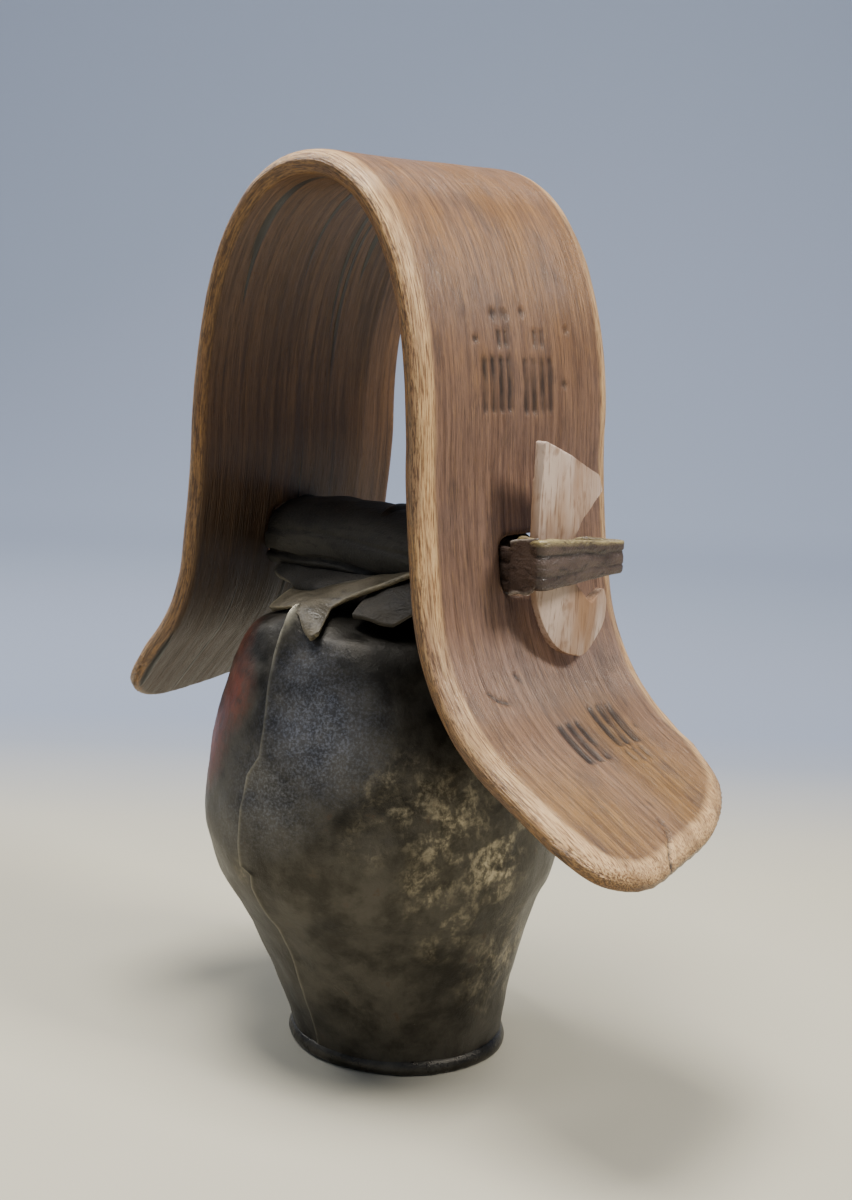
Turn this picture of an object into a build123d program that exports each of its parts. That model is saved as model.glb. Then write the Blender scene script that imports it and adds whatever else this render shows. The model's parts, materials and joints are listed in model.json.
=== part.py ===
"""Livestock bell hung in a bentwood neck collar.

Millimetres. +Z is up, X runs across the collar's two legs, Y through the collar (the neck passes along Y).
The origin is on the floor, below the middle of the collar, where the bell stands on its mouth.
"""

import math
import os

from build123d import *

# ---- collar -------------------------------------------------------------------------------------
HEIGHT = 382.8  # floor to the top of the bow
BAND_WIDTH = 120.0
WOOD = 10.0  # thickness of the bent board
SPRING_HALF = 68.2  # half width over the board where the arch begins
SPRING_Z = 266.5
ARCH_POWER = 2.2  # superellipse exponent of the arch
LEG_HALF = 74.8  # half width where the feet start to flare
LEG_Z = 209.9
FLARE_R_RIGHT, FLARE_R_LEFT = 79.6, 59.2
FLARE_TURN_RIGHT, FLARE_TURN_LEFT = 61.8, 43.7  # degrees from vertical
FOOT_RIGHT, FOOT_LEFT = 62.0, 48.0  # straight length after the flare
WOOD_ROUND = 4.4  # rounding of the board's long edges

# ---- leather strap and its slots ------------------------------------------------------------------
AXIS_Y, AXIS_Z = 3.0, 222.0  # the bell swings about this line along X
STRAP = 3.4
STRAP_TALL = 18.0
SLOT_LONG, SLOT_TALL, SLOT_RISE = 35.0, 24.5, 1.2
PAD_HALF = 59.0
PAD_WIDE, PAD_TALL, PAD_DROP = 50.0, 39.0, 0.5

# ---- keys -----------------------------------------------------------------------------------------
KEY_BACK, KEY = 85.5, 6.5

# ---- bell -----------------------------------------------------------------------------------------
SHEET = 2.4
MOUTH_SHIFT = Vector(5.0, 7.0)  # the mouth stands this far off the belly's centre
SHIFT_END = 100.0
HOOP, HOOP_TALL = 2.0, 6.0
ROOF_Z, RIDGE_Z = 187.0, 198.5
BAIL_ROD, BAIL_R = 6.0, 14.6
BAIL_LOW = 176.0  # centre line of the bail's lower bend
LINK_R, LINK_ROD = 9.0, 4.0
EYE_R, EYE_ROD = 7.0, 4.0
BULB_R, BULB_Z = 13.0, 31.0
PLAY = 0.3  # gap where one ring hangs in another
CUT = 30.0  # length of the cutters that clear the bail's two legs


# Half widths of the bell across X and along Y, and the corner exponent, at each height.
BELL_SECTIONS = (
    (0.0, 46.4, 44.6, 2.05),
    (14.0, 48.2, 47.0, 2.05),
    (33.0, 53.0, 53.0, 2.1),
    (50.0, 57.5, 59.5, 2.1),
    (66.0, 62.0, 67.0, 2.1),
    (80.0, 68.0, 75.0, 2.15),
    (98.0, 71.5, 79.5, 2.15),
    (120.0, 71.5, 79.5, 2.15),
    (145.0, 68.0, 76.0, 2.2),
    (168.0, 60.0, 70.0, 2.3),
    (ROOF_Z, 49.0, 63.5, 2.4),
)
ROOF_SECTIONS = (
    (ROOF_Z, 49.0, 63.5, 2.4),
    (193.0, 36.0, 60.5, 2.2),
    (197.0, 20.0, 58.0, 2.0),
    (RIDGE_Z, 10.0, 56.5, 2.0),
)


def bow_line(side, inset):
    """Points down one side of the bow, from the crown to the foot's end, inset from the outer face."""
    radius = FLARE_R_RIGHT if side > 0 else FLARE_R_LEFT
    turn = math.radians(FLARE_TURN_RIGHT if side > 0 else FLARE_TURN_LEFT)
    foot = FOOT_RIGHT if side > 0 else FOOT_LEFT
    drop = SPRING_Z - LEG_Z
    spread = LEG_HALF - SPRING_HALF
    start = math.atan2(1.5 * spread, drop)
    path = []
    for step in range(9):
        angle = math.radians(90 - 11.25 * step)
        half, rise = SPRING_HALF, HEIGHT - SPRING_Z
        x = half * abs(math.cos(angle)) ** (2 / ARCH_POWER)
        z = rise * abs(math.sin(angle)) ** (2 / ARCH_POWER)
        nx = (x / half) ** (ARCH_POWER - 1) / half
        nz = (z / rise) ** (ARCH_POWER - 1) / rise
        size = math.hypot(nx, nz)
        path.append((x, SPRING_Z + z, nx / size, nz / size))
    for step in (1, 2, 3):
        part = step / 3
        lean = math.atan2(1.5 * spread * part**0.5, drop)
        x = SPRING_HALF + spread * part**1.5
        path.append((x, SPRING_Z - drop * part, math.cos(lean), math.sin(lean)))
    for step in range(1, 7):
        angle = start + (turn - start) * step / 6
        x = LEG_HALF + radius * (math.cos(start) - math.cos(angle))
        z = LEG_Z - radius * (math.sin(angle) - math.sin(start))
        path.append((x, z, math.cos(angle), math.sin(angle)))
    end_x, end_z, nx, nz = path[-1]
    for step in (1, 2):
        run = foot * step / 2
        path.append((end_x + nz * run, end_z - nx * run, nx, nz))
    return [(side * (x - nx * inset), z - nz * inset) for x, z, nx, nz in path]


def foot_plane(side):
    """A plane on the foot's outer face, X along the foot and Y along the row's Y, at the flare's end."""
    turn = math.radians(FLARE_TURN_RIGHT if side > 0 else FLARE_TURN_LEFT)
    end = bow_line(side, 0)[-3]
    along = (side * math.sin(turn), 0, -math.cos(turn))
    across = (side * math.cos(turn), 0, math.sin(turn))
    return Plane(origin=(end[0], 0, end[1]), x_dir=along, z_dir=across)


# ---- collar bow: one board, bent, with rounded tips and two strap slots ---------------------------
middle = list(reversed(bow_line(-1, WOOD / 2))) + bow_line(1, WOOD / 2)[1:]
# Tip outlines on the foot planes, as (along the foot, across the band): both lean to the -Y side.
tip_right = ((24, -61), (47, -56), (57, -46), (60.5, -32), (56.5, -10), (48, 22), (30, 49), (4, 61))
tip_left = ((8, -61), (31, -57), (42, -49), (46.5, -37), (44, -18), (34, 12), (16, 43), (-8, 61))
beside, beyond = BAND_WIDTH / 2 + 15, FOOT_RIGHT + 28  # the cut reaches clear past the board

with BuildPart() as collar_bow:
    with BuildLine() as spine:
        Spline(*[(x, 0, z) for x, z in middle])
    with BuildSketch(Plane(origin=spine.line @ 0, x_dir=(0, 1, 0), z_dir=spine.line % 0)):
        RectangleRounded(BAND_WIDTH, WOOD, WOOD_ROUND)
    sweep(path=spine.line)
    for side, tip in ((1, tip_right), (-1, tip_left)):
        plane = foot_plane(side)
        flip = plane.y_dir.Y  # the plane's own Y may run against the row's Y
        outline = [(along, flip * across) for along, across in tip]
        with BuildSketch(plane):
            with BuildLine():
                Spline(*outline)
                Polyline(
                    outline[-1],
                    (outline[-1][0], flip * beside),
                    (beyond, flip * beside),
                    (beyond, -flip * beside),
                    (outline[0][0], -flip * beside),
                    outline[0],
                )
            make_face()
        extrude(amount=4 * WOOD, both=True, mode=Mode.SUBTRACT)
    with BuildSketch(Plane.YZ):
        with Locations((AXIS_Y, AXIS_Z + SLOT_RISE)):
            RectangleRounded(SLOT_LONG, SLOT_TALL, 3)
    extrude(amount=HEIGHT, both=True, mode=Mode.SUBTRACT)
collar_bow.part.label = "collar_bow"

# ---- hanger strap: one closed band through both slots, round both keys ----------------------------
quarter = ((50, 4.75), (66, 13.0), (74, 15.0))
near_corner, far_corner = (98.0, -24.4), (98.0, 27.6)


def strap_ring(offset_by):
    """The strap's plan outline, grown or shrunk by offset_by from its middle line."""
    right_near = [(x, -y) for x, y in quarter]
    right_far = [(x, y) for x, y in reversed(quarter)]
    right = right_near + [near_corner, far_corner] + right_far
    left = [(-x, y) for x, y in reversed(right)]
    with BuildSketch(Plane.XY.offset(AXIS_Z - STRAP_TALL / 2)) as ring:
        with Locations((0, AXIS_Y)):
            with BuildSketch(mode=Mode.PRIVATE) as flat:
                with BuildLine():
                    FilletPolyline(*right, *left, radius=3.6, close=True)
                make_face()
                offset(amount=offset_by)
            add(flat.sketch)
    return ring.sketch


with BuildPart() as hanger_strap:
    add(strap_ring(STRAP / 2))
    extrude(amount=STRAP_TALL)
    add(strap_ring(-STRAP / 2))
    extrude(amount=STRAP_TALL, mode=Mode.SUBTRACT)
    fillet(hanger_strap.edges().filter_by(GeomType.LINE, reverse=True).group_by(Axis.Z)[-1], radius=0.8)
hanger_strap.part.label = "hanger_strap"

# ---- strap lap: the band's tail, laid on the outside of the near strand beside the right leg -------
slot_exit = Vector(quarter[-1][0], AXIS_Y - quarter[-1][1])
strand_run = Vector(near_corner[0], AXIS_Y + near_corner[1]) - slot_exit
strand_plane = Plane(
    origin=(slot_exit.X, slot_exit.Y, AXIS_Z),
    x_dir=strand_run.normalized(),
    z_dir=(strand_run.Y, -strand_run.X, 0),
)
LAP, LAP_LONG, LAP_TALL = 1.8, 14.5, 19.5
with BuildPart() as strap_lap:
    with BuildSketch(strand_plane.offset(STRAP / 2)):
        with Locations((LAP_LONG / 2 + 3.2, 0)):
            RectangleRounded(LAP_LONG, LAP_TALL, 1.5)
    extrude(amount=LAP)
strap_lap.part.label = "strap_lap"

# ---- keys: flat boards with a waist that the strap lies in -----------------------------------------
key_far_side = ((-13.0, 274.5), (26.5, 259.0), (30.0, 252.5), (12.5, 242.0), (6.5, 234.5), (6.5, 220.0))
key_hook = ((11.5, 215.5), (20.5, 208.0), (31.0, 212.5), (34.0, 206.0))
key_foot = ((33.0, 197.0), (19.0, 186.5), (2.0, 191.0), (-9.0, 205.5), (-13.6, 222.0), (-14.0, 243.0))
with BuildPart() as right_key:
    with BuildSketch(Plane.YZ.offset(KEY_BACK)):
        with BuildLine():
            Polyline(*key_far_side, *key_hook)
            Spline(key_hook[-1], *key_foot)
            Line(key_foot[-1], key_far_side[0])
        make_face()
    extrude(amount=KEY)
right_key.part.label = "right_key"

with BuildPart() as left_key:
    mirror(right_key.part, about=Plane.YZ)
left_key.part.label = "left_key"

# ---- throat pad: a thick leather roll round the strap and the bail ----------------------------------
with BuildPart() as throat_pad:
    with BuildSketch(Plane.YZ):
        with Locations((AXIS_Y, AXIS_Z - PAD_DROP)):
            Ellipse(PAD_WIDE / 2, PAD_TALL / 2)
    extrude(amount=PAD_HALF, both=True)
    fillet(throat_pad.edges(), radius=2.5)
    with BuildSketch(Plane.XY.offset(AXIS_Z)):
        with Locations((0, AXIS_Y)):
            with BuildSketch(mode=Mode.PRIVATE) as bore_half:
                with BuildLine():
                    Polyline((-60, 0), (-60, 15.6), (-48, 11.8), (48, 11.8), (60, 15.6), (60, 0), close=True)
                make_face()
            add(bore_half.sketch)
    revolve(axis=Axis((0, AXIS_Y, AXIS_Z), (1, 0, 0)), mode=Mode.SUBTRACT)
throat_pad.part.label = "throat_pad"


# ---- bell: two lapped sheet-iron halves meeting in seams at the -Y and +Y ends ----------------------
def bell_section(z, half_x, half_y, power, inset):
    """One closed horizontal section of the bell, as two arcs that meet at the seams."""
    share = max(0.0, 1 - z / SHIFT_END)
    centre = (MOUTH_SHIFT.X * share, MOUTH_SHIFT.Y * share)
    half_x, half_y = half_x - inset, half_y - inset
    with BuildSketch(Plane.XY.offset(z)) as section:
        with BuildLine():
            for side in (1, -1):
                points = []
                for step in range(9):
                    angle = math.radians(-90 + 22.5 * step)
                    x = half_x * abs(math.cos(angle)) ** (2 / power)
                    y = half_y * math.copysign(abs(math.sin(angle)) ** (2 / power), angle)
                    points.append((centre[0] + side * x, centre[1] + y))
                Spline(*points)
        make_face()
    return section.sketch


def bell_solid(inset):
    """The bell's outer form (inset 0) or its hollow (inset one sheet), walls and roof."""
    with BuildPart() as form:
        for z, half_x, half_y, power in BELL_SECTIONS:
            add(bell_section(z, half_x, half_y, power, inset))
        loft()
        for z, half_x, half_y, power in ROOF_SECTIONS:
            add(bell_section(z - 0.45 * inset * (z > ROOF_Z), half_x, half_y, power, inset))
        loft()
    return form.part


bail_reach = AXIS_Z - BAIL_LOW
with BuildPart() as bail_ring:
    with BuildLine(Plane.YZ) as bail_path:
        top = ThreePointArc(
            (AXIS_Y - BAIL_R, AXIS_Z), (AXIS_Y, AXIS_Z + BAIL_R), (AXIS_Y + BAIL_R, AXIS_Z)
        )
        low_z = BAIL_LOW + BAIL_R
        Line(top @ 1, (AXIS_Y + BAIL_R, low_z))
        ThreePointArc((AXIS_Y + BAIL_R, low_z), (AXIS_Y, BAIL_LOW), (AXIS_Y - BAIL_R, low_z))
        Line((AXIS_Y - BAIL_R, low_z), top @ 0)
    with BuildSketch(Plane(origin=(0, AXIS_Y - BAIL_R, AXIS_Z), z_dir=(0, 0, 1))):
        Circle(BAIL_ROD / 2)
    sweep(path=bail_path.wires()[0])
bail_ring.part.label = "bail_ring"

bell_outer, bell_hollow = bell_solid(0), bell_solid(SHEET)
half_shells = {}
for side, name in ((1, "bell_shell_right"), (-1, "bell_shell_left")):
    with BuildPart() as shell:
        add(bell_outer)
        add(bell_hollow, mode=Mode.SUBTRACT)
        split(bisect_by=Plane.YZ, keep=Keep.TOP if side > 0 else Keep.BOTTOM)
        with Locations((0, AXIS_Y - BAIL_R, RIDGE_Z), (0, AXIS_Y + BAIL_R, RIDGE_Z)):
            Cylinder(BAIL_ROD / 2, CUT, mode=Mode.SUBTRACT)
    shell.part.label = name
    half_shells[name] = shell.part

# ---- mouth hoop: a strip forged round the mouth, the face the bell stands on -----------------------
with BuildPart() as mouth_hoop:
    add(bell_section(0, BELL_SECTIONS[0][1], BELL_SECTIONS[0][2], 2.05, -HOOP))
    add(bell_section(HOOP_TALL, BELL_SECTIONS[0][1] + 0.8, BELL_SECTIONS[0][2] + 1.0, 2.05, -HOOP))
    loft()
    add(bell_outer, mode=Mode.SUBTRACT)
    add(bell_hollow, mode=Mode.SUBTRACT)
mouth_hoop.part.label = "mouth_hoop"

# ---- roof saddle: leather laid over the ridge under the bail, with a flap over the front slope ------
saddle_line = ((-65, 187.0), (-61.5, 194.5), (-52, 198.8), (-20, 199.2), (28, 199.2), (38, 198.8))
SADDLE = 2.0
with BuildPart() as roof_saddle:
    with BuildSketch(Plane.YZ):
        with BuildLine():
            lower = Spline(*saddle_line)
            upper = Spline(*[(y - 0.7, z + SADDLE) for y, z in saddle_line])
            Line(lower @ 0, upper @ 0)
            Line(lower @ 1, upper @ 1)
        make_face()
    extrude(amount=24, both=True)
    with BuildSketch(Plane.XY.offset(RIDGE_Z)):
        with Locations((0, AXIS_Y)):
            with GridLocations(0, 2 * BAIL_R, 1, 2):
                Circle(BAIL_ROD / 2)
    extrude(amount=CUT, both=True, mode=Mode.SUBTRACT)
roof_saddle.part.label = "roof_saddle"

# ---- clapper and the link it hangs from --------------------------------------------------------------
link_z = BAIL_LOW + BAIL_ROD / 2 + PLAY + LINK_ROD / 2 - LINK_R
with BuildPart() as clapper_link:
    with BuildSketch(Plane(origin=(0, AXIS_Y, link_z), x_dir=(0, 1, 0), z_dir=(1, 0, 0))):
        with Locations((0, LINK_R)):
            Circle(LINK_ROD / 2)
    revolve(axis=Axis((0, AXIS_Y, link_z), (0, 1, 0)))
clapper_link.part.label = "clapper_link"

eye_z = link_z - LINK_R + LINK_ROD / 2 + PLAY + EYE_ROD / 2 - EYE_R
with BuildPart() as clapper:
    with BuildSketch(Plane(origin=(0, AXIS_Y, eye_z), x_dir=(1, 0, 0), z_dir=(0, 1, 0))):
        with Locations((0, EYE_R)):
            Circle(EYE_ROD / 2)
    revolve(axis=Axis((0, AXIS_Y, eye_z), (1, 0, 0)))
    shank_top = eye_z - EYE_R + 1
    with BuildSketch(Plane(origin=(0, AXIS_Y, 0), x_dir=(1, 0, 0), z_dir=(0, -1, 0))):
        with BuildLine():
            Line((0, shank_top), (2.6, shank_top))
            Line((2.6, shank_top), (4.2, BULB_Z + 25))
            Spline(
                (4.2, BULB_Z + 25),
                (9.5, BULB_Z + 11),
                (BULB_R, BULB_Z),
                (9.5, BULB_Z - 10),
                (3.5, BULB_Z - 15),
            )
            Line((3.5, BULB_Z - 15), (0, BULB_Z - 15))
            Line((0, BULB_Z - 15), (0, shank_top))
        make_face()
    revolve(axis=Axis((0, AXIS_Y, 0), (0, 0, 1)))
clapper.part.label = "clapper"

os.makedirs("parts", exist_ok=True)
for piece in (
    collar_bow,
    hanger_strap,
    strap_lap,
    right_key,
    left_key,
    throat_pad,
    bail_ring,
    mouth_hoop,
    roof_saddle,
    clapper_link,
    clapper,
):
    export_step(piece.part, f"parts/{piece.part.label}.step")
for name, part in half_shells.items():
    export_step(part, f"parts/{name}.step")
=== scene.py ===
"""Looks of a livestock bell hung in a bentwood neck collar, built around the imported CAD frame.

The object's own shapes are worked out in millimetres, in the row frame, and made into meshes in metres.
"""

import itertools
import json
import math

import bpy
import numpy as np
from mathutils import Matrix, Vector

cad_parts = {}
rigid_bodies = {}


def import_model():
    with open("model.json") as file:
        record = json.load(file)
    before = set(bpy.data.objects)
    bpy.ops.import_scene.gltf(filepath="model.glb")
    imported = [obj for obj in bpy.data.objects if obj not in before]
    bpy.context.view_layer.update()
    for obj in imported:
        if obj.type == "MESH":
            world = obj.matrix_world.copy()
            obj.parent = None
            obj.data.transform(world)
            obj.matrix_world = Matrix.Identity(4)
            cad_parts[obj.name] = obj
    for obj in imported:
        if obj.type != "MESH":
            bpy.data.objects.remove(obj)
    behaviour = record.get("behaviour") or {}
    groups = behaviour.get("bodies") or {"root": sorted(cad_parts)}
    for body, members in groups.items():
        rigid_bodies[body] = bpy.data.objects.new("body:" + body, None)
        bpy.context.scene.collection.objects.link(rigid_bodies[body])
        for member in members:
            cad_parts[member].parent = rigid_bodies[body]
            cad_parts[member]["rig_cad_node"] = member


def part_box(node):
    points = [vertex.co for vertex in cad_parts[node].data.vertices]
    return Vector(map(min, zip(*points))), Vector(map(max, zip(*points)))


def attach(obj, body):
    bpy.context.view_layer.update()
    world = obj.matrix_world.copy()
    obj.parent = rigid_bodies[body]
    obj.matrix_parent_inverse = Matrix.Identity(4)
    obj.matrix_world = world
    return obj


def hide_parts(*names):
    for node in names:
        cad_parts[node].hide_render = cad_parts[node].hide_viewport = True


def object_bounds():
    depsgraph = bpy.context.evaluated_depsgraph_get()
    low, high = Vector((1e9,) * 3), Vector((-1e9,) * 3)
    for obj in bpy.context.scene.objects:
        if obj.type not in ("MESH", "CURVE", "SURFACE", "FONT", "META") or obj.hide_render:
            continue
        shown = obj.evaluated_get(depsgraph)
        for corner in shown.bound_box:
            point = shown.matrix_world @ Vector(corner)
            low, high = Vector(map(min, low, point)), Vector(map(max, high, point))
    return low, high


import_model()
cad_low, cad_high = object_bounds()
MM = 0.001

# ---- driving dimensions, the CAD model's own, in millimetres ----------------------------------------
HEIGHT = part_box("collar_bow")[1][2] / MM
BAND_HALF = 60.0
WOOD = 10.0
SPRING_HALF, SPRING_Z, ARCH_POWER = 68.2, 266.5, 2.2
LEG_HALF, LEG_Z = 74.8, 209.9
FLARE_R = {1: 79.6, -1: 59.2}
FLARE_TURN = {1: math.radians(61.8), -1: math.radians(43.7)}
FOOT_LONGEST = 66.0
AXIS_Y, AXIS_Z = 3.0, 222.0
KEY_BACK, KEY = 85.5, 6.5
STRAP, STRAP_HALF = 3.4, 9.0
PAD_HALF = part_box("throat_pad")[1][0] / MM
MOUTH_SHIFT, SHIFT_END = (5.0, 7.0), 100.0
SHEET = 2.4


# ---- numbers to meshes ---------------------------------------------------------------------------
def noise(points, size, seed=0):
    """Smooth lumps about size across, from -1 to 1, at each point."""
    grid = np.asarray(points, float) / size + 37.7 * seed
    cell = np.floor(grid).astype(np.int64)
    part = grid - cell
    part = part * part * (3 - 2 * part)
    total = np.zeros(len(grid))
    for corner in itertools.product((0, 1), repeat=3):
        at = cell + corner
        mixed = (at @ np.array([374761393, 668265263, 1274126177])) & 0xFFFFFFFF
        mixed = ((mixed ^ (mixed >> 13)) * 1103515245) & 0xFFFFFFFF
        value = ((mixed ^ (mixed >> 16)) & 0xFFFF) / 32767.5 - 1
        total += value * np.prod(np.where(corner, part, 1 - part), axis=1)
    return total


def curve(points, count):
    """count points evenly spread along a smooth line through points."""
    knots = np.asarray(points, float)
    ends = np.vstack([2 * knots[0] - knots[1], knots, 2 * knots[-1] - knots[-2]])
    t = np.linspace(0, 1, 24, endpoint=False)[:, None]
    runs = [
        b + 0.5 * t * ((c - a) + t * (2 * a - 5 * b + 4 * c - d) + t * t * (3 * b - a - 3 * c + d))
        for a, b, c, d in zip(ends, ends[1:], ends[2:], ends[3:])
    ]
    line = np.vstack(runs + [knots[-1:]])
    along = np.concatenate([[0], np.cumsum(np.linalg.norm(np.diff(line, axis=0), axis=1))])
    at = np.linspace(0, along[-1], count)
    return np.stack([np.interp(at, along, line[:, k]) for k in range(line.shape[1])], 1)


def quads(rows, columns, closed_rows=False, closed_columns=False, start=0):
    """Faces of a grid of points stored row by row; either way round may close on itself."""
    i, j = np.meshgrid(
        np.arange(rows if closed_rows else rows - 1),
        np.arange(columns if closed_columns else columns - 1),
        indexing="ij",
    )
    i2, j2 = (i + 1) % rows, (j + 1) % columns
    corners = [i * columns + j, i * columns + j2, i2 * columns + j2, i2 * columns + j]
    return start + np.stack(corners, -1).reshape(-1, 4)


def mesh_object(name, points, faces, body, material, replaced=(), fields=None):
    """A smooth-shaded piece from points in millimetres. fields are vertex attributes by name."""
    mesh = bpy.data.meshes.new(name)
    mesh.from_pydata((np.asarray(points) * MM).tolist(), [], np.asarray(faces).tolist())
    mesh.validate()
    mesh.shade_smooth()
    for field, values in (fields or {}).items():
        values = np.asarray(values, np.float32)
        kind = "FLOAT_VECTOR" if values.ndim == 2 else "FLOAT"
        layer = mesh.attributes.new(field, kind, "POINT")
        layer.data.foreach_set("vector" if values.ndim == 2 else "value", values.ravel())
    mesh.materials.append(material)
    piece = bpy.data.objects.new(name, mesh)
    bpy.context.scene.collection.objects.link(piece)
    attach(piece, body)
    if replaced:
        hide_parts(*replaced)
    return piece


def normals(grid, closed_rows=False, closed_columns=False):
    """Unit normals of a grid of points, rows by columns by 3."""

    def slope(axis, closed):
        if closed:
            return np.roll(grid, -1, axis) - np.roll(grid, 1, axis)
        return np.gradient(grid, axis=axis)

    out = np.cross(slope(1, closed_columns), slope(0, closed_rows))
    return out / np.maximum(np.linalg.norm(out, axis=2, keepdims=True), 1e-9)


def slab(grid, thickness):
    """Points and faces of a sheet: a grid of points on one face, and the other face thickness under it."""
    rows, columns = grid.shape[:2]
    under = grid - normals(grid) * np.asarray(thickness)
    points = np.vstack([grid.reshape(-1, 3), under.reshape(-1, 3)])
    top, low = quads(rows, columns), quads(rows, columns, start=rows * columns)[:, ::-1]
    index = np.arange(rows * columns).reshape(rows, columns)
    rim = np.concatenate([index[0], index[1:, -1], index[-1, -2::-1], index[-2:0:-1, 0]])
    after = np.roll(rim, -1)
    wall = np.stack([after, rim, rim + rows * columns, after + rows * columns], 1)
    return points, np.vstack([top, low, wall])


# ---- material nodes ------------------------------------------------------------------------------
class Paint:
    """A node material with one Principled shader, and short ways to add nodes to it."""

    def __init__(self, name, **sockets):
        self.material = bpy.data.materials.new(name)
        self.material.use_nodes = True
        self.tree = self.material.node_tree
        self.shader = self.tree.nodes["Principled BSDF"]
        for socket, value in sockets.items():
            self.set(self.shader, socket.replace("_", " "), value)

    def set(self, node, socket, value):
        if isinstance(value, bpy.types.NodeSocket):
            self.tree.links.new(value, node.inputs[socket])
        elif value is not None:
            node.inputs[socket].default_value = value

    def field(self, name, vector=False):
        node = self.tree.nodes.new("ShaderNodeAttribute")
        node.attribute_name = name
        return node.outputs["Vector" if vector else "Fac"]

    def place(self):
        return self.tree.nodes.new("ShaderNodeTexCoord").outputs["Object"]

    def stretch(self, vector, scale):
        node = self.tree.nodes.new("ShaderNodeMapping")
        self.set(node, "Vector", vector)
        node.inputs["Scale"].default_value = scale
        return node.outputs["Vector"]

    def split(self, vector):
        node = self.tree.nodes.new("ShaderNodeSeparateXYZ")
        self.set(node, "Vector", vector)
        return node.outputs

    def grain(self, vector, scale=1.0, detail=4.0, rough=0.55, twist=0.0):
        node = self.tree.nodes.new("ShaderNodeTexNoise")
        self.set(node, "Vector", vector)
        for socket, value in (
            ("Scale", scale),
            ("Detail", detail),
            ("Roughness", rough),
            ("Distortion", twist),
        ):
            node.inputs[socket].default_value = value
        return node.outputs["Fac"]

    def cells(self, vector, scale):
        node = self.tree.nodes.new("ShaderNodeTexVoronoi")
        self.set(node, "Vector", vector)
        node.inputs["Scale"].default_value = scale
        return node.outputs["Distance"]

    def lift(self, value, low, high, to_low=0.0, to_high=1.0):
        node = self.tree.nodes.new("ShaderNodeMapRange")
        node.interpolation_type = "SMOOTHSTEP"
        for socket, number in zip(
            ("Value", "From Min", "From Max", "To Min", "To Max"), (value, low, high, to_low, to_high)
        ):
            self.set(node, socket, number)
        return node.outputs["Result"]

    def sum(self, operation, first, second):
        node = self.tree.nodes.new("ShaderNodeMath")
        node.operation = operation
        node.use_clamp = operation != "MULTIPLY_ADD"
        self.set(node, 0, first)
        self.set(node, 1, second)
        return node.outputs["Value"]

    def mix(self, share, first, second, blend="MIX"):
        node = self.tree.nodes.new("ShaderNodeMix")
        node.data_type, node.blend_type = "RGBA", blend
        colours = [s for s in node.inputs if s.type == "RGBA"]
        self.set(node, 0, share)
        for socket, value in zip(colours, (first, second)):
            if isinstance(value, bpy.types.NodeSocket):
                self.tree.links.new(value, socket)
            else:
                socket.default_value = (*value, 1)
        return [s for s in node.outputs if s.type == "RGBA"][0]

    def bump(self, height, depth_mm, below=None):
        node = self.tree.nodes.new("ShaderNodeBump")
        self.set(node, "Height", height)
        node.inputs["Distance"].default_value = depth_mm * MM
        if below is not None:
            self.tree.links.new(below, node.inputs["Normal"])
        return node.outputs["Normal"]

    def finish(self, colour, roughness=None, normal=None, metallic=None):
        self.set(self.shader, "Base Color", colour)
        self.set(self.shader, "Roughness", roughness)
        self.set(self.shader, "Metallic", metallic)
        if normal is not None:
            self.set(self.shader, "Normal", normal)
        return self.material


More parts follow.
